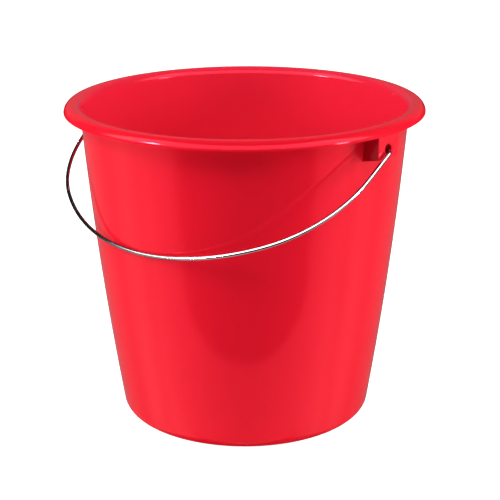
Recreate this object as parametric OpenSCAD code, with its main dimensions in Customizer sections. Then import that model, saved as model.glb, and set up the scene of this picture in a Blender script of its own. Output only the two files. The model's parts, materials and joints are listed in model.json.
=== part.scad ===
// Wash bucket: a moulded tub with a rolled rim and a free-swinging wire bail.
// Units are millimetres and +Z is up. The origin is the middle of the foot ring, on the floor.
// The bail turns about the X direction through the two lugs and hangs towards -Y.

/* [Tub] */
// Height from the floor to the crest of the rim
height = 252; // [248:1:262]
// Outer radius of the rim
rim_r = 140; // [139.6:0.1:141]
// Outer wall radius carried straight down to the floor
base_r = 98.9; // [85:0.1:125]
// How far the wall swells outside a straight cone at half height
wall_swell = 2.6; // [0.5:0.1:5]
// Thickness of the moulded plastic
wall_t = 2; // [1.2:0.1:2.6]

/* [Rim] */
// Radius of the outer roll, from the crest down to the skirt edge
roll_r = 6.5; // [4:0.5:10]
// Radius of the inner roll, from the crest down to the inside wall
lip_r = 5.5; // [4:0.5:9]
// Width of the level crest between the two rolls
crest_w = 2.5; // [1:0.5:6]

/* [Base] */
// Radius of the corner between the wall and the foot ring
corner_r = 9; // [6:0.5:14]
// Height of the base plate above the floor
foot_rise = 3; // [2:0.5:6]
// Inner radius of the foot ring
foot_inner_r = 86; // [70:0.5:90]
// Height of the mould parting groove around the corner
parting_z = 4.6; // [3:0.1:6]
// Radius of the moulding gate under the base
gate_r = 4; // [2:0.5:8]
// How far the moulding gate stands out of the base
gate_h = 0.8; // [0.4:0.1:1.6]

/* [Lugs] */
// Distance from the middle to the flat outer face of a lug
lug_face = 139.6; // [136:0.1:140]
// Width of a lug
lug_w = 23; // [16:1:40]
// Height of the bottom edge of a lug above the floor
lug_bottom = 229; // [222:1:230]
// How much lower the lug ends at the wall than at its outer face
lug_drop = 4; // [0:0.5:12]
// Thickness of the outer plate of a lug
lug_plate_t = 2.5; // [2:0.5:5]
// Thickness of the two ribs that carry the plate
lug_rib_t = 2; // [1.5:0.5:4]
// Radius of the oversize hole for the bail
hole_r = 3.6; // [2:0.1:6]
// How far the hole centre sits above the wire that rests in it
hole_lift = 1.8; // [0:0.1:2]

/* [Bail] */
// Radius of the round wire
wire_r = 1.5; // [1:0.1:3]
// Height of the bail pivot above the floor
pivot_z = 234; // [232:0.5:240]
// Distance from the middle to the centre line of each straight leg
leg_x = 143.6; // [143:0.2:150]
// Length of the straight leg, from the pivot to the start of the shoulder
leg_len = 29.3; // [22:0.1:36]
// Centre-line radius of the long crown between the two shoulders
crown_r = 172.8; // [160:0.2:185]
// Centre-line radius of the bend between pin and leg
bend_r = 3; // [2.5:0.5:6]
// Distance from the middle to the cut end of each pin
pin_end = 130; // [115:0.5:160]
// How far the bail lies to the left, within its side play between the lugs
side_shift = 1.6; // [0:0.1:2]
// Gap between the hanging bail and the front of the wall
rest_gap = 0.35; // [0.2:0.05:2]

/* [Colours] */
// Colour of the moulded plastic
plastic_color = "#e8202f"; // color
// Colour of the bright wire
wire_color = "#c9ccd0"; // color

/* [Hidden] */
$fn = 96;
arc_fn = 2400; // facets of the very large circle that curves the wall
past = 1; // how far cutters run past a surface

// Rim: centres of the two rolls
roll_x = rim_r - roll_r;
roll_z = height - roll_r;
lip_x = roll_x - crest_w;
lip_z = height - lip_r;

// Wall: one large circle through the floor radius and the radius under the rim
wall_top_r = lip_x - lip_r + wall_t;
chord = norm([wall_top_r - base_r, lip_z]);
arc_r = chord * chord / (8 * wall_swell) + wall_swell / 2;
arc_x = (base_r + wall_top_r) / 2 - (arc_r - wall_swell) * lip_z / chord;
arc_z = lip_z / 2 + (arc_r - wall_swell) * (wall_top_r - base_r) / chord;

// Foot corner: a circle that runs into the wall, with a hair of overlap so that the two cross
corner_bite = 0.01;
corner_x = arc_x + sqrt(pow(arc_r - corner_r, 2) - pow(corner_r - arc_z, 2)) + corner_bite;
corner_join_z = corner_r * (1 - (arc_z - corner_r) / (arc_r - corner_r));
base_top = foot_rise + wall_t;
foot_slope = 0.8; // sideways run of the foot ring's inner flank, per unit of rise
trough_inner_r = foot_inner_r - wall_t * foot_slope + wall_t * norm([1, foot_slope]);

// Bail: the crown runs into each shoulder at a 3-4-5 angle, so that every join is exact
join_cos = 0.6;
join_sin = 0.8;
join_angle = acos(join_cos);
shoulder_r = (leg_x - join_cos * crown_r) / (1 - join_cos);
crown_y = (crown_r - shoulder_r) * join_sin - leg_len;
bail_reach = crown_r - crown_y;

// Swing of the hanging bail out of the vertical, found by halving until it meets the wall
least_swing = 30;
most_swing = 85;
halvings = 24;
rest_swing = rest_angle(least_swing, most_swing, halvings);

function wall_r(z) = arc_x + sqrt(arc_r * arc_r - pow(z - arc_z, 2));
function bail_gap(a) =
    norm([bail_reach * sin(a) - arc_x, pivot_z - bail_reach * cos(a) - arc_z]) - arc_r - wire_r;
function rest_angle(low, high, steps) =
    steps == 0 ? (low + high) / 2
    : bail_gap((low + high) / 2) > rest_gap ? rest_angle(low, (low + high) / 2, steps - 1)
    : rest_angle((low + high) / 2, high, steps - 1);

// Everything inside the wall's curve, moved inwards by inset, between two heights
module inside_wall(inset, low, high) {
    intersection() {
        translate([arc_x, arc_z]) circle(r = arc_r - inset, $fn = arc_fn);
        translate([0, low]) square([rim_r, high - low]);
    }
}

// Outline under the rim's top surface, moved inwards by inset
module rim_outline(inset) {
    intersection() {
        translate([lip_x, lip_z]) circle(r = lip_r - inset);
        translate([lip_x - lip_r, lip_z]) square([lip_r, lip_r]);
    }
    translate([lip_x, roll_z]) square([crest_w, roll_r - inset]);
    intersection() {
        translate([roll_x, roll_z]) circle(r = roll_r - inset);
        translate([roll_x, roll_z]) square([roll_r, roll_r]);
    }
}

// Rounded foot, moved inwards by inset
module foot_outline(inset) {
    translate([corner_x, corner_r]) circle(r = corner_r - inset);
    translate([0, inset]) square([corner_x, corner_r - inset]);
}

// The tub without any hollow
module tub_outline() {
    inside_wall(0, corner_join_z, height - wall_t / 2);
    foot_outline(0);
    rim_outline(0);
}

// The inside of the tub, with its mouth flared over the inner roll
module tub_hollow() {
    difference() {
        union() {
            inside_wall(wall_t, corner_join_z, height + past);
            foot_outline(wall_t);
            difference() {
                translate([0, lip_z]) square([lip_x, lip_r + past]);
                translate([lip_x, lip_z]) circle(r = lip_r);
            }
        }
        raised_base(base_top, wall_t, trough_inner_r);
    }
}

// A low plateau around the axis, between two heights, with a sloping flank
module raised_base(top, bottom, flank_r) {
    polygon([
        [0, bottom - past],
        [flank_r + past * foot_slope, bottom - past],
        [flank_r - (top - bottom) * foot_slope, top],
        [0, top]
    ]);
}

// The open channel between the wall and the skirt of the rim
module rim_channel() {
    difference() {
        union() {
            rim_outline(wall_t);
            translate([lip_x - lip_r + wall_t, roll_z - past])
                square([lip_r - wall_t, lip_z - roll_z + past]);
            translate([lip_x, roll_z - past]) square([rim_r - wall_t - lip_x, past]);
        }
        inside_wall(0, roll_z - 2 * past, height);
    }
}

module tub_section() {
    difference() {
        tub_outline();
        tub_hollow();
        rim_channel();
        difference() {
            raised_base(foot_rise, 0, foot_inner_r);
            translate([0, foot_rise - gate_h]) square([gate_r, gate_h + past]);
        }
        parting_groove();
    }
}

// A fine groove where the two halves of the mould meet
module parting_groove() {
    groove_h = 0.6;
    groove_depth = 0.4;
    groove_x = corner_x + sqrt(pow(corner_r, 2) - pow(corner_r - parting_z, 2));
    translate([groove_x - groove_depth, parting_z - groove_h / 2])
        square([groove_depth + past, groove_h]);
}

// Space where a lug may grow: it starts inside the wall, ends inside the rim and is deeper at the wall
module lug_space() {
    root_x = wall_top_r - 3 * wall_t;
    difference() {
        union() {
            rim_outline(wall_t / 2);
            polygon([
                [root_x, lug_bottom - lug_drop],
                [rim_r, lug_bottom],
                [rim_r, roll_z],
                [lip_x, roll_z],
                [lip_x, lip_z],
                [root_x, lip_z]
            ]);
        }
        inside_wall(wall_t / 2, lug_bottom - lug_drop - past, height);
    }
}

// A lug is a flat plate on two ribs, open at the bottom
module lug() {
    difference() {
        intersection() {
            rotate_extrude() lug_space();
            lug_block();
        }
        translate([lug_face - lug_plate_t - past, 0, pivot_z + hole_lift])
            rotate([0, 90, 0]) cylinder(h = lug_plate_t + 2 * past, r = hole_r);
    }
}

module lug_block() {
    root_x = wall_top_r - 4 * wall_t;
    plate_x = lug_face - lug_plate_t;
    rib_y = lug_w / 2 - lug_rib_t;
    translate([0, 0, lug_bottom - lug_drop - past])
        linear_extrude(height = height - lug_bottom + lug_drop)
        polygon([
            [root_x, -lug_w / 2],
            [lug_face, -lug_w / 2],
            [lug_face, lug_w / 2],
            [root_x, lug_w / 2],
            [root_x, rib_y],
            [plate_x, rib_y],
            [plate_x, -rib_y],
            [root_x, -rib_y]
        ]);
}

module tub() {
    color(plastic_color) {
        rotate_extrude() tub_section();
        for (turn = [0, 180]) rotate([0, 0, turn]) lug();
    }
}

// A bent length of wire about the Z axis
module wire_arc(radius, start, sweep) {
    rotate_extrude(angle = sweep, start = start) translate([radius, 0]) circle(r = wire_r);
}

// One side of the bail lying flat: pin, bend, straight leg, shoulder and half of the crown
module bail_side() {
    translate([pin_end, 0, 0]) rotate([0, 90, 0])
        cylinder(h = leg_x - bend_r - pin_end, r = wire_r);
    translate([leg_x - bend_r, -bend_r, 0]) wire_arc(bend_r, 0, 90);
    translate([leg_x, -bend_r, 0]) rotate([90, 0, 0])
        cylinder(h = leg_len - bend_r, r = wire_r);
    translate([leg_x - shoulder_r, -leg_len, 0])
        wire_arc(shoulder_r, -join_angle, join_angle);
    translate([0, crown_y, 0]) wire_arc(crown_r, -90, 90 - join_angle);
}

module bail() {
    color(wire_color) translate([-side_shift, 0, pivot_z]) rotate([90 - rest_swing, 0, 0])
        for (turn = [0, 180]) rotate([0, turn, 0]) bail_side();
}

tub();
bail();
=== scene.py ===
"""A glossy moulded wash bucket with a bright wire bail, on a pale studio floor."""
import json
import math

import bmesh
import bpy
from mathutils import Matrix, Vector


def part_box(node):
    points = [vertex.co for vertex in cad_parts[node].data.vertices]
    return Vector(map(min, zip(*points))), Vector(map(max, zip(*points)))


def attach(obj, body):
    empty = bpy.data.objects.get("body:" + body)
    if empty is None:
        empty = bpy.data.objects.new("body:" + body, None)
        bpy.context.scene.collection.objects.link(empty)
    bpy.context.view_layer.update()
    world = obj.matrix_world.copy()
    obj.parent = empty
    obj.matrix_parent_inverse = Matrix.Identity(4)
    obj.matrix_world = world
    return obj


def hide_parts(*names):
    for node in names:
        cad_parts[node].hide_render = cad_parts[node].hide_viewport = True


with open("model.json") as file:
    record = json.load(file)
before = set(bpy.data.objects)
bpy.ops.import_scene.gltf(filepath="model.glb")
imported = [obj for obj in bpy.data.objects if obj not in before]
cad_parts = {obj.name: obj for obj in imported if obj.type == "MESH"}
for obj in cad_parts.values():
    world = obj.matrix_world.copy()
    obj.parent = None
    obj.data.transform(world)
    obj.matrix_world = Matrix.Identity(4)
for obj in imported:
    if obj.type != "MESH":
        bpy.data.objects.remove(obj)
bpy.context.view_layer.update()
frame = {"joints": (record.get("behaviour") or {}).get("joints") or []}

MM = 0.001
TINY = 1e-6
_, TUB_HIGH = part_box("tub")
BAIL_LOW, BAIL_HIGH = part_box("bail")
PIVOT = Vector(frame["joints"][0]["pos_m"])

# Camera: metres, degrees and millimetres of lens. VIEW_SIDE is the side of the object that it
# looks from, round +Z from -Y.
VIEW_SIDE = 42.5
VIEW_DISTANCE = 1.0797
VIEW_HEIGHT = 0.4862
VIEW_PITCH = 18.33
VIEW_YAW = 0.202
VIEW_ROLL = -0.194
VIEW_LENS = 101.85
SENSOR_WIDTH = 36.0

# Tub, in millimetres, as the CAD part has it. Names ending in STEPS or SIDES count facets.
HEIGHT = TUB_HIGH.z / MM
RIM_R = TUB_HIGH.x / MM
WALL_T = 2.0
ROLL_R = 6.5
LIP_R = 5.5
CREST_W = 2.5
BASE_R = 98.9
WALL_SWELL = 2.6
CORNER_R = 9.0
FOOT_RISE = 3.0
FOOT_INNER_R = 86.0
FOOT_SLOPE = 0.8
PARTING_Z = 4.6
PARTING_HALF = 0.35
PARTING_DEPTH = 0.3
GATE_R = 4.0
GATE_H = 0.8
SKIRT_EDGE_R = 0.45
EDGE_SOFTNESS = 0.35
WALL_STEPS = 60
LUG_FACE = 139.6
LUG_W = 23.0
LUG_BOTTOM = 229.0
LUG_DROP = 4.0
LUG_PLATE_T = 2.5
LUG_RIB_T = 2.0
LUG_DROP_RUN = 19.1  # how far in from the face the lug's lower edge has dropped by LUG_DROP
LUG_ROOT = 125.25  # inside the thickness of the wall
LUG_CEILING_BEND = 129.5  # where the hidden top of the lug is highest, inside the rim
POCKET_ROOT = 100.0
HOLE_R = 3.6
HOLE_LIFT = 1.8
HOLE_SIDES = 48
AROUND = 288

# Bail, in millimetres.
WIRE_R = 1.5
BEND_R = 3.0
LEG_LEN = 29.3
CROWN_R = 172.8
PIN_END = 130.0
PIN_CHAMFER = 0.3
JOIN_COS, JOIN_SIN = 0.6, 0.8
WIRE_SIDES = 28

# Studio. Angles are in degrees from the camera's side, to the right, and above the level.
ROOM_GLOW = 0.02
# What reflections show: (from, to, fade, fade) sideways, the same in height, and the strength.
SOFTBOXES = (
    ((-104, -50, 24, 14), (-50, -13, 4, 6), 0.70),
    ((-78, -50, 10, 14), (-50, -13, 4, 6), 0.40),
    ((51, 104, 8, 24), (-50, -13, 4, 6), 0.58),
    ((51, 79, 8, 10), (-50, -13, 4, 6), 0.38),
    ((-200, -104, 1, 20), (-50, -13, 4, 6), 0.19),
    ((104, 200, 20, 1), (-50, -13, 4, 6), 0.15),
    ((-96, 84, 16, 10), (14, 60, 6, 6), 6.0),
    ((-200, -135, 1, 20), (4, 40, 6, 20), 0.14),
    ((135, 200, 20, 1), (4, 40, 6, 20), 0.12),
    ((-66, -56, 2, 2), (18, 28, 2, 2), 160.0),
    ((58, 66, 2, 2), (4, 14, 2, 2), 50.0),
)
# Soft lights on matt surfaces: side, height, size in metres and power in watts.
SOFT_LIGHTS = (
    (-84, 10, 0.5, 10.0),
    (84, 10, 0.5, 12.0),
    (-100, 40, 0.6, 3.6),
    (-58, 42, 0.4, 7.0),
    (0, 60, 0.4, 2.6),
    (42, 42, 0.4, 3.9),
    (100, 40, 0.6, 4.0),
    (180, 45, 0.6, 6.0),
)
LIGHT_DISTANCE = 1.3
LIGHT_CENTRE = 0.15
LIGHT_TARGET = (0, 0, 0.12)

# Pale table in front of the tub, in metres: its reflection has a curved edge low on the wall.
TABLE_HALF = 0.9
TABLE_NEAR = -0.205
TABLE_FAR = -0.10
TABLE_LIFT = 0.0002
TABLE_GLOW = 1.0
TABLE_STEPS = 32
TABLE_BOW = 0.75
TABLE_BOW_MOST = 0.12
FLOOR_HALF = 14

# Linear colours.
WHITE = (1.0, 1.0, 1.0, 1.0)
BLACK = (0.0, 0.0, 0.0, 1.0)
FLOOR_GREY = (0.82, 0.82, 0.82, 1.0)
RED_GLOSS = (1.0, 0.05, 0.09, 1.0)
OUTER_REDS = (0.79, 0.0085, 0.0245, 1.0), (0.82, 0.0090, 0.0260, 1.0)
# Paler reds for the inside of the tub: painted light, not the plastic's own colour.
INNER_PAINTED_LIGHT_REDS = (0.78, 0.0200, 0.050, 1.0), (0.80, 0.0210, 0.053, 1.0)
# A dark red for the sides of the lugs: painted shade.
LUG_SIDE_PAINTED_SHADE = (0.36, 0.0030, 0.0110, 1.0)
WIRE_GREYS = (0.46, 0.46, 0.47, 1.0), (0.38, 0.38, 0.39, 1.0)


# ---------------------------------------------------------------- mesh helpers

def arc(cx, cz, r, start, end, steps):
    """Points of a circle's arc, from one angle to another in radians."""
    return [(cx + r * math.cos(start + (end - start) * i / steps),
             cz + r * math.sin(start + (end - start) * i / steps))
            for i in range(steps + 1)]


def joined(*runs):
    """One list of points from several, without doubled ends."""
    out = []
    for run in runs:
        for p in run:
            if not out or math.dist(out[-1], p) > TINY:
                out.append(p)
    return out


def new_object(name, bm):
    """An object in the scene, made from a bmesh that is then freed."""
    mesh = bpy.data.meshes.new(name)
    bm.to_mesh(mesh)
    bm.free()
    obj = bpy.data.objects.new(name, mesh)
    bpy.context.scene.collection.objects.link(obj)
    return obj


def lathe(name, profile, around):
    """A closed solid turned from a profile of (radius, height) that starts and ends on the axis."""
    bm = bmesh.new()
    turns = [2 * math.pi * k / around for k in range(around)]
    rings = []
    for r, z in profile:
        if r < TINY:
            rings.append([bm.verts.new((0, 0, z * MM))])
        else:
            rings.append([bm.verts.new((r * MM * math.cos(a), r * MM * math.sin(a), z * MM))
                          for a in turns])
    for low, high in zip(rings, rings[1:]):
        for k in range(around):
            n = (k + 1) % around
            if len(low) == 1:
                bm.faces.new((low[0], high[n], high[k]))
            elif len(high) == 1:
                bm.faces.new((low[k], low[n], high[0]))
            else:
                bm.faces.new((low[k], low[n], high[n], high[k]))
    bmesh.ops.recalc_face_normals(bm, faces=bm.faces)
    return new_object(name, bm)


def prism(name, outline, low, high, axis):
    """An outline of (a, b) points pushed from low to high along Y or Z, in millimetres."""
    bm = bmesh.new()

    def place(a, b, d):
        return (a * MM, d * MM, b * MM) if axis == "Y" else (a * MM, b * MM, d * MM)

    ends = [[bm.verts.new(place(a, b, d)) for a, b in outline] for d in (low, high)]
    bm.faces.new(ends[0])
    bm.faces.new(reversed(ends[1]))
    for i in range(len(outline)):
        j = (i + 1) % len(outline)
        bm.faces.new((ends[0][i], ends[1][i], ends[1][j], ends[0][j]))
    bmesh.ops.recalc_face_normals(bm, faces=bm.faces)
    return new_object(name, bm)


def settle(obj):
    """Applies every modifier and the object's own placement."""
    bpy.context.view_layer.update()
    dg = bpy.context.evaluated_depsgraph_get()
    mesh = bpy.data.meshes.new_from_object(obj.evaluated_get(dg))
    obj.modifiers.clear()
    obj.data = mesh
    mesh.transform(obj.matrix_world)
    obj.matrix_world = Matrix.Identity(4)


def combine(obj, tool, operation):
    """Joins or cuts an object with a tool, which is used up."""
    mod = obj.modifiers.new("combine", "BOOLEAN")
    mod.object = tool
    mod.operation = operation
    mod.solver = "EXACT"
    settle(obj)
    bpy.data.objects.remove(tool)


def soften_edges(obj, width, angle):
    """Rounds every edge that is sharper than an angle in degrees."""
    mod = obj.modifiers.new("soften", "BEVEL")
    mod.width = width * MM
    mod.segments = 2
    mod.limit_method = "ANGLE"
    mod.angle_limit = math.radians(angle)
    settle(obj)


def smooth(obj, angle):
    """Shades smoothly, except across edges that are sharper than an angle in degrees."""
    for face in obj.data.polygons:
        face.use_smooth = True
    obj.data.set_sharp_from_angle(angle=math.radians(angle))


# ---------------------------------------------------------------- tub

def tub_profile():
    """The tub's section, from the axis under the base, up the outside and down the inside."""
    lip_z = HEIGHT - LIP_R
    roll_x, roll_z = RIM_R - ROLL_R, HEIGHT - ROLL_R
    top_r = roll_x - CREST_W - LIP_R + WALL_T
    chord = math.hypot(top_r - BASE_R, lip_z)
    big_r = chord ** 2 / (8 * WALL_SWELL) + WALL_SWELL / 2
    big_x = (BASE_R + top_r) / 2 - (big_r - WALL_SWELL) * lip_z / chord
    big_z = lip_z / 2 + (big_r - WALL_SWELL) * (top_r - BASE_R) / chord

    corner_x = big_x + math.sqrt((big_r - CORNER_R) ** 2 - (CORNER_R - big_z) ** 2)
    foot_turn = math.atan2(CORNER_R - big_z, corner_x - big_x)
    under_r = LIP_R - WALL_T
    lip_x = big_x + math.sqrt((big_r + under_r) ** 2 - (lip_z - big_z) ** 2)
    rim_turn = math.atan2(lip_z - big_z, lip_x - big_x)

    # The parting groove is a fine V around the corner.
    groove = math.asin((PARTING_Z - CORNER_R) / CORNER_R)
    half = PARTING_HALF / CORNER_R
    groove_r = CORNER_R - PARTING_DEPTH
    corner_out = joined(
        arc(corner_x, CORNER_R, CORNER_R, -math.pi / 2, groove - half, 14),
        [(corner_x + groove_r * math.cos(groove), CORNER_R + groove_r * math.sin(groove))],
        arc(corner_x, CORNER_R, CORNER_R, groove + half, foot_turn, 8))

    wall_out = arc(big_x, big_z, big_r, foot_turn, rim_turn, WALL_STEPS)
    channel = joined(
        arc(lip_x, lip_z, under_r, math.pi + rim_turn, math.pi / 2, 8),
        arc(roll_x, roll_z, ROLL_R - WALL_T, math.pi / 2, 0, 10))
    edge = SKIRT_EDGE_R
    edge_z = roll_z + edge * 0.4
    skirt = joined(
        arc(RIM_R - WALL_T + edge, edge_z, edge, math.pi, 1.5 * math.pi, 3),
        arc(RIM_R - edge, edge_z, edge, 1.5 * math.pi, 2 * math.pi, 3))
    skirt = [(r, max(z, roll_z)) for r, z in skirt]
    rim_top = joined(
        arc(roll_x, roll_z, ROLL_R, 0.06, math.pi / 2, 16),
        arc(lip_x, lip_z, LIP_R, math.pi / 2, math.pi + rim_turn, 16))
    wall_in = arc(big_x, big_z, big_r - WALL_T, rim_turn, foot_turn, WALL_STEPS)
    corner_in = arc(corner_x, CORNER_R, CORNER_R - WALL_T, foot_turn, -math.pi / 2, 12)

    # The base is raised inside the foot ring, with a sloping flank and softened corners.
    base_top = WALL_T + FOOT_RISE
    flank = FOOT_RISE * FOOT_SLOPE
    trough_r = FOOT_INNER_R - WALL_T * FOOT_SLOPE + WALL_T * math.hypot(1, FOOT_SLOPE)
    base_in = [(trough_r + 0.5, WALL_T), (trough_r - 0.3, WALL_T + 0.25),
               (trough_r - flank + 0.4, base_top - 0.35), (trough_r - flank - 0.6, base_top),
               (60, base_top), (30, base_top), (0, base_top)]
    gate_z = FOOT_RISE - GATE_H
    under = [(0, gate_z), (GATE_R - 0.3, gate_z), (GATE_R, gate_z + 0.3),
             (GATE_R, FOOT_RISE), (30, FOOT_RISE), (60, FOOT_RISE),
             (FOOT_INNER_R - flank, FOOT_RISE),
             (FOOT_INNER_R - 0.3, 0.3), (FOOT_INNER_R + 0.4, 0)]
    return joined(under, corner_out, wall_out, channel, skirt, rim_top, wall_in, corner_in, base_in)


def lug():
    """A flat plate on two ribs, open at the bottom, rooted in the wall and in the rim."""
    plate = LUG_FACE - LUG_PLATE_T
    inner = LUG_W / 2 - LUG_RIB_T
    root_bottom = LUG_BOTTOM - LUG_DROP * (LUG_FACE - LUG_ROOT) / LUG_DROP_RUN
    ceiling = HEIGHT - WALL_T
    side = [(LUG_ROOT, root_bottom), (LUG_FACE, LUG_BOTTOM), (LUG_FACE, ceiling - 3),
            (plate, ceiling + 0.3), (LUG_CEILING_BEND, ceiling + 0.8), (LUG_ROOT, ceiling - 3)]
    body = prism("lug", side, -LUG_W / 2, LUG_W / 2, "Y")
    pocket_outline = [(POCKET_ROOT, -inner), (plate, -inner), (plate, inner), (POCKET_ROOT, inner)]
    combine(body, prism("pocket", pocket_outline, LUG_BOTTOM - 5, HEIGHT + 5, "Z"), "DIFFERENCE")
    bm = bmesh.new()
    bmesh.ops.create_cone(bm, cap_ends=True, segments=HOLE_SIDES, depth=8 * MM,
                          radius1=HOLE_R * MM, radius2=HOLE_R * MM)
    centre = Matrix.Translation((LUG_FACE * MM, 0, PIVOT.z + HOLE_LIFT * MM))
    bmesh.ops.transform(bm, matrix=centre @ Matrix.Rotation(math.pi / 2, 4, "Y"), verts=bm.verts)
    combine(body, new_object("hole", bm), "DIFFERENCE")
    soften_edges(body, EDGE_SOFTNESS, 50)
    return body


def make_tub():
    """The turned moulding with a lug joined on at each side."""
    tub = lathe("tub_moulding", tub_profile(), AROUND)
    for turn in (0, math.pi):
        one_lug = lug()
        one_lug.matrix_world = Matrix.Rotation(turn, 4, "Z")
        settle(one_lug)
        combine(tub, one_lug, "UNION")
    smooth(tub, 38)
    return tub


# ---------------------------------------------------------------- bail

def bail_path():
    """The wire's centre line lying flat: x across, y down from the pivot, in millimetres."""
    leg_x = (BAIL_HIGH.x - BAIL_LOW.x) / 2 / MM - WIRE_R
    shoulder_r = (leg_x - JOIN_COS * CROWN_R) / (1 - JOIN_COS)
    crown_y = LEG_LEN - (CROWN_R - shoulder_r) * JOIN_SIN
    join = math.acos(JOIN_COS)
    right = joined(
        [(PIN_END + (leg_x - BEND_R - PIN_END) * i / 4, 0) for i in range(5)],
        arc(leg_x - BEND_R, BEND_R, BEND_R, -math.pi / 2, 0, 10),
        [(leg_x, BEND_R + (LEG_LEN - BEND_R) * i / 6) for i in range(7)],
        arc(leg_x - shoulder_r, LEG_LEN, shoulder_r, 0, join, 40),
        arc(0, crown_y, CROWN_R, join, math.pi / 2, 40))
    left = [(-x, y) for x, y in reversed(right[:-1])]
    return right + left


def make_bail():
    """The wire swept along its centre line, in the plane that it hangs in."""
    drop = PIVOT.z - BAIL_LOW.z - WIRE_R * MM
    out = -BAIL_LOW.y - WIRE_R * MM
    down = Vector((0, -out, -drop)).normalized()
    across = Vector((1, 0, 0))
    normal = across.cross(down)
    middle = Vector(((BAIL_LOW.x + BAIL_HIGH.x) / 2, PIVOT.y, PIVOT.z))
    path = [middle + across * (x * MM) + down * (y * MM) for x, y in bail_path()]
    bm = bmesh.new()
    turns = [2 * math.pi * k / WIRE_SIDES for k in range(WIRE_SIDES)]
    rings = []

    def ring(centre, tangent, radius):
        side = tangent.cross(normal).normalized()
        rings.append([bm.verts.new(centre + side * (radius * MM * math.cos(a))
                                   + normal * (radius * MM * math.sin(a))) for a in turns])

    last = len(path) - 1
    for i, p in enumerate(path):
        tangent = (path[min(i + 1, last)] - path[max(i - 1, 0)]).normalized()
        if i == 0:
            ring(p, tangent, WIRE_R - PIN_CHAMFER)
            ring(p + tangent * PIN_CHAMFER * MM, tangent, WIRE_R)
        elif i == last:
            ring(p - tangent * PIN_CHAMFER * MM, tangent, WIRE_R)
            ring(p, tangent, WIRE_R - PIN_CHAMFER)
        else:
            ring(p, tangent, WIRE_R)
    for a, b in zip(rings, rings[1:]):
        for k in range(WIRE_SIDES):
            n = (k + 1) % WIRE_SIDES
            bm.faces.new((a[k], a[n], b[n], b[k]))
    bm.faces.new(reversed(rings[0]))
    bm.faces.new(rings[-1])
    bmesh.ops.recalc_face_normals(bm, faces=bm.faces)
    wire = new_object("bail_wire", bm)
    smooth(wire, 50)
    return wire


# ---------------------------------------------------------------- materials

class Nodes:
    """A short way to write a node tree."""

    def __init__(self, owner):
        owner.use_nodes = True
        self.tree = owner.node_tree

    def add(self, kind, **values):
        """A new node, with values for its inputs and its own settings."""
        node = self.tree.nodes.new("ShaderNode" + kind)
        for key, value in values.items():
            if key in node.inputs:
                node.inputs[key].default_value = value
            else:
                setattr(node, key, value)
        return node

    def link(self, source, target):
        self.tree.links.new(source, target)

    def dot(self, a, b):
        node = self.add("VectorMath", operation="DOT_PRODUCT")
        for socket, value in zip(node.inputs, (a, b)):
            if isinstance(value, (tuple, Vector)):
                socket.default_value = value
            else:
                self.link(value, socket)
        return node.outputs["Value"]

    def ramp(self, source, low, high, to_low=0.0, to_high=1.0, soft=False):
        """A value that runs from to_low to to_high while the source runs from low to high."""
        node = self.add("MapRange")
        node.interpolation_type = "SMOOTHSTEP" if soft else "LINEAR"
        for key, value in (("From Min", low), ("From Max", high),
                           ("To Min", to_low), ("To Max", to_high)):
            node.inputs[key].default_value = value
        self.link(source, node.inputs["Value"])
        return node.outputs["Result"]

    def math(self, operation, a, b):
        node = self.add("Math", operation=operation)
        for socket, value in zip(node.inputs, (a, b)):
            if isinstance(value, (int, float)):
                socket.default_value = value
            else:
                self.link(value, socket)
        return node.outputs["Value"]

    def mix_colour(self, factor, a, b):
        node = self.add("Mix", data_type="RGBA")
        self.link(factor, node.inputs["Factor"])
        for socket, value in ((node.inputs[6], a), (node.inputs[7], b)):
            if isinstance(value, tuple):
                socket.default_value = value
            else:
                self.link(value, socket)
        return node.outputs[2]

    def bump(self, height, distance, strength=1.0, below=None):
        node = self.add("Bump", Strength=strength, Distance=distance)
        self.link(height, node.inputs["Height"])
        if below is not None:
            self.link(below, node.inputs["Normal"])
        return node.outputs["Normal"]


class Surface(Nodes):
    """A new material, with its shader and the object's own coordinates."""

    def __init__(self, name):
        self.material = bpy.data.materials.new(name)
        super().__init__(self.material)
        self.shader = self.tree.nodes["Principled BSDF"]
        self.place = self.add("TexCoord").outputs["Object"]

    def noise(self, scale, detail=2.0, roughness=0.5, stretch=(1, 1, 1)):
        mapping = self.add("Mapping", Scale=stretch)
        self.link(self.place, mapping.inputs["Vector"])
        node = self.add("TexNoise", Scale=scale, Detail=detail, Roughness=roughness)
        self.link(mapping.outputs["Vector"], node.inputs["Vector"])
        return node.outputs["Fac"]

    def from_axis(self):
        """The direction straight out from the tub's own axis."""
        flat = self.add("VectorMath", operation="MULTIPLY")
        self.link(self.place, flat.inputs[0])
        flat.inputs[1].default_value = (1, 1, 0)
        unit = self.add("VectorMath", operation="NORMALIZE")
        self.link(flat.outputs["Vector"], unit.inputs[0])
        return unit.outputs["Vector"]

    def across_axis(self):
        """The level direction round the tub, square to from_axis."""
        cross = self.add("VectorMath", operation="CROSS_PRODUCT")
        self.link(self.from_axis(), cross.inputs[0])
        cross.inputs[1].default_value = (0, 0, 1)
        return cross.outputs["Vector"]


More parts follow.
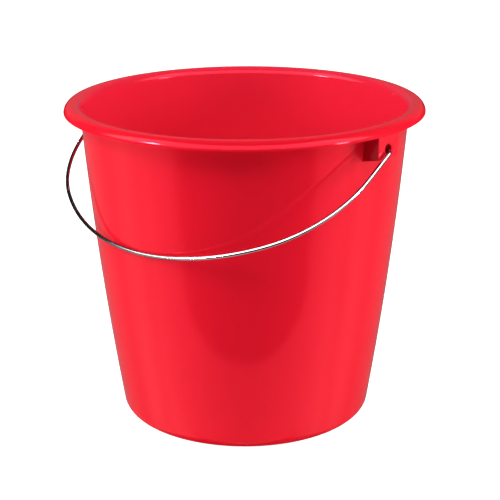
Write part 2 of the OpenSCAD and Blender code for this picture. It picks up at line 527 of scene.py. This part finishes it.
def red_plastic():
    """Glossy red plastic, painted paler inside the tub as painted light, and painted darker on the
    sides of the lugs as painted shade.
    """
    n = Surface("red_plastic")
    n.shader.inputs["IOR"].default_value = 1.5
    n.shader.inputs["Specular IOR Level"].default_value = 1.0
    n.shader.inputs["Specular Tint"].default_value = RED_GLOSS
    flow = n.noise(9.0, 3.0, stretch=(1, 1, 0.35))
    fine = n.noise(2600.0, 1.0)
    wave = n.noise(24.0, 2.0, stretch=(1, 1, 0.5))
    scuff = n.noise(420.0, 5.0, 0.7, stretch=(1, 1, 0.12))
    outer = n.mix_colour(n.ramp(flow, 0.35, 0.65), *OUTER_REDS)
    # Inside the tub, faces that look in towards the axis are painted paler reds: painted light.
    inner = n.mix_colour(n.ramp(flow, 0.35, 0.65), *INNER_PAINTED_LIGHT_REDS)
    facing = n.add("NewGeometry").outputs["Normal"]
    outwards = n.dot(facing, n.from_axis())
    colour = n.mix_colour(n.ramp(outwards, -0.5, 0.1), inner, outer)
    # Faces that look round the tub, the sides of the lugs, are painted dark red: painted shade.
    sideways = n.math("ABSOLUTE", n.dot(facing, n.across_axis()), 0)
    colour = n.mix_colour(n.ramp(sideways, 0.7, 0.95), colour, LUG_SIDE_PAINTED_SHADE)
    n.link(colour, n.shader.inputs["Base Color"])
    rough = n.math("ADD", n.ramp(flow, 0.3, 0.7, 0.11, 0.14), n.ramp(scuff, 0.62, 0.8, 0.0, 0.10))
    n.link(rough, n.shader.inputs["Roughness"])
    soft = n.bump(wave, 0.0004, 0.3)
    n.link(n.bump(fine, 0.00002, 0.25, soft), n.shader.inputs["Normal"])
    return n.material


def bright_wire():
    """Drawn steel wire, a little dull in patches."""
    n = Surface("bright_wire")
    n.shader.inputs["Metallic"].default_value = 1.0
    drawn = n.noise(900.0, 3.0, 0.6, stretch=(0.08, 1, 1))
    dull = n.noise(60.0, 3.0)
    colour = n.mix_colour(n.ramp(dull, 0.4, 0.7), *WIRE_GREYS)
    n.link(colour, n.shader.inputs["Base Color"])
    rough = n.math("ADD", n.ramp(drawn, 0.3, 0.7, 0.08, 0.16), n.ramp(dull, 0.55, 0.75, 0.0, 0.1))
    n.link(rough, n.shader.inputs["Roughness"])
    n.link(n.bump(drawn, 0.00003, 0.4), n.shader.inputs["Normal"])
    return n.material


def floor_material():
    """Matt and pale, and pure white to the camera, as a lit sweep is."""
    n = Surface("studio_floor")
    n.shader.inputs["Base Color"].default_value = FLOOR_GREY
    n.shader.inputs["Roughness"].default_value = 0.9
    n.shader.inputs["Specular IOR Level"].default_value = 0.0
    n.shader.inputs["Emission Color"].default_value = WHITE
    n.link(n.add("LightPath").outputs["Is Camera Ray"], n.shader.inputs["Emission Strength"])
    return n.material


# ---------------------------------------------------------------- studio

def aim(obj, target):
    """Turns a light to face a point."""
    obj.rotation_mode = "QUATERNION"
    obj.rotation_quaternion = (Vector(target) - obj.location).to_track_quat("-Z", "Y")


def from_camera_side(across, away, up):
    """A world point from metres to the camera's right, away from the camera, and up."""
    a = math.radians(VIEW_SIDE)
    return (Vector((math.cos(a), math.sin(a), 0)) * across
            + Vector((-math.sin(a), math.cos(a), 0)) * away + Vector((0, 0, up)))


def around_camera(side, lift, distance):
    """A world point seen from the tub at an angle to the right of the camera, and raised."""
    side, lift = math.radians(side), math.radians(lift)
    level = distance * math.cos(lift)
    return from_camera_side(level * math.sin(side), -level * math.cos(side),
                            distance * math.sin(lift) + LIGHT_CENTRE)


def soft_light(name, side, lift, size, power):
    """A square soft light that reflections don't show; the soft boxes of the world are there."""
    data = bpy.data.lights.new(name, "AREA")
    data.size = size
    data.energy = power
    light = bpy.data.objects.new(name, data)
    bpy.context.scene.collection.objects.link(light)
    light.location = around_camera(side, lift, LIGHT_DISTANCE)
    light.visible_glossy = False
    aim(light, LIGHT_TARGET)


def make_table_edge(name):
    """A strip of the pale table in front of the tub, which shows only in reflections."""
    n = Surface(name)
    n.shader.inputs["Base Color"].default_value = BLACK
    n.shader.inputs["Specular IOR Level"].default_value = 0.0
    n.shader.inputs["Emission Color"].default_value = WHITE
    n.shader.inputs["Emission Strength"].default_value = TABLE_GLOW
    n.material.cycles.emission_sampling = "NONE"
    bm = bmesh.new()
    rows = []
    for i in range(TABLE_STEPS + 1):
        x = TABLE_HALF * (2 * i / TABLE_STEPS - 1)
        bow = min(TABLE_BOW * x * x, TABLE_BOW_MOST)
        rows.append([bm.verts.new(from_camera_side(x, y - bow, TABLE_LIFT))
                     for y in (TABLE_NEAR, TABLE_FAR)])
    for a, b in zip(rows, rows[1:]):
        bm.faces.new((a[0], b[0], b[1], a[1]))
    strip = new_object(name, bm)
    strip.data.materials.append(n.material)
    for kind in ("camera", "diffuse", "transmission", "volume_scatter", "shadow"):
        setattr(strip, "visible_" + kind, False)


def make_floor():
    """The studio floor, which reflections don't show."""
    bm = bmesh.new()
    bmesh.ops.create_grid(bm, x_segments=1, y_segments=1, size=FLOOR_HALF)
    floor = new_object("studio_floor", bm)
    floor.data.materials.append(floor_material())
    floor.visible_glossy = False


def make_world():
    """White to the camera, dark to matt surfaces, and a studio of soft boxes in reflections."""
    world = bpy.data.worlds.new("studio")
    bpy.context.scene.world = world
    world.cycles.sampling_method = "NONE"
    n = Nodes(world)
    way = n.add("TexCoord").outputs["Generated"]
    rightwards = n.dot(way, from_camera_side(1, 0, 0))
    towards = n.dot(way, from_camera_side(0, -1, 0))
    side = n.math("DEGREES", n.math("ARCTAN2", rightwards, towards), 0)
    lift = n.math("DEGREES", n.math("ARCSINE", n.dot(way, Vector((0, 0, 1))), 0), 0)
    room = ROOM_GLOW
    for sideways, upwards, glow in SOFTBOXES:
        for angle, (start, end, start_fade, end_fade) in ((side, sideways), (lift, upwards)):
            rise = n.ramp(angle, start - start_fade / 2, start + start_fade / 2, soft=True)
            fall = n.ramp(angle, end - end_fade / 2, end + end_fade / 2, 1.0, 0.0, soft=True)
            glow = n.math("MULTIPLY", n.math("MULTIPLY", glow, rise), fall)
        room = n.math("ADD", room, glow)
    seen = n.add("LightPath")
    mirrored = n.math("MULTIPLY", room, seen.outputs["Is Glossy Ray"])
    background = n.tree.nodes["Background"]
    background.inputs["Color"].default_value = WHITE
    shown = n.math("MAXIMUM", mirrored, seen.outputs["Is Camera Ray"])
    n.link(shown, background.inputs["Strength"])


def make_camera():
    """The camera looks down at the tub, very slightly turned and tilted."""
    data = bpy.data.cameras.new("camera")
    data.lens = VIEW_LENS
    data.sensor_width = SENSOR_WIDTH
    data.clip_start, data.clip_end = 0.05, 60
    camera = bpy.data.objects.new("camera", data)
    bpy.context.scene.collection.objects.link(camera)
    camera.location = from_camera_side(0, -VIEW_DISTANCE, VIEW_HEIGHT)
    yaw, pitch, roll = (math.radians(v) for v in (VIEW_YAW, VIEW_PITCH, VIEW_ROLL))
    look = from_camera_side(math.sin(yaw), math.cos(yaw), -math.tan(pitch)).normalized()
    camera.rotation_mode = "QUATERNION"
    tilt = Matrix.Rotation(roll, 4, "Z").to_quaternion()
    camera.rotation_quaternion = look.to_track_quat("-Z", "Y") @ tilt
    bpy.context.scene.camera = camera


tub = make_tub()
tub.data.materials.clear()
tub.data.materials.append(red_plastic())
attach(tub, "bucket")
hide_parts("tub")

bail = make_bail()
bail.data.materials.append(bright_wire())
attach(bail, "handle")
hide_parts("bail")

make_floor()
make_world()
make_camera()
make_table_edge("table_front")
for number, light in enumerate(SOFT_LIGHTS, start=1):
    soft_light(f"soft_light_{number}", *light)
bpy.context.scene.view_settings.view_transform = "Standard"
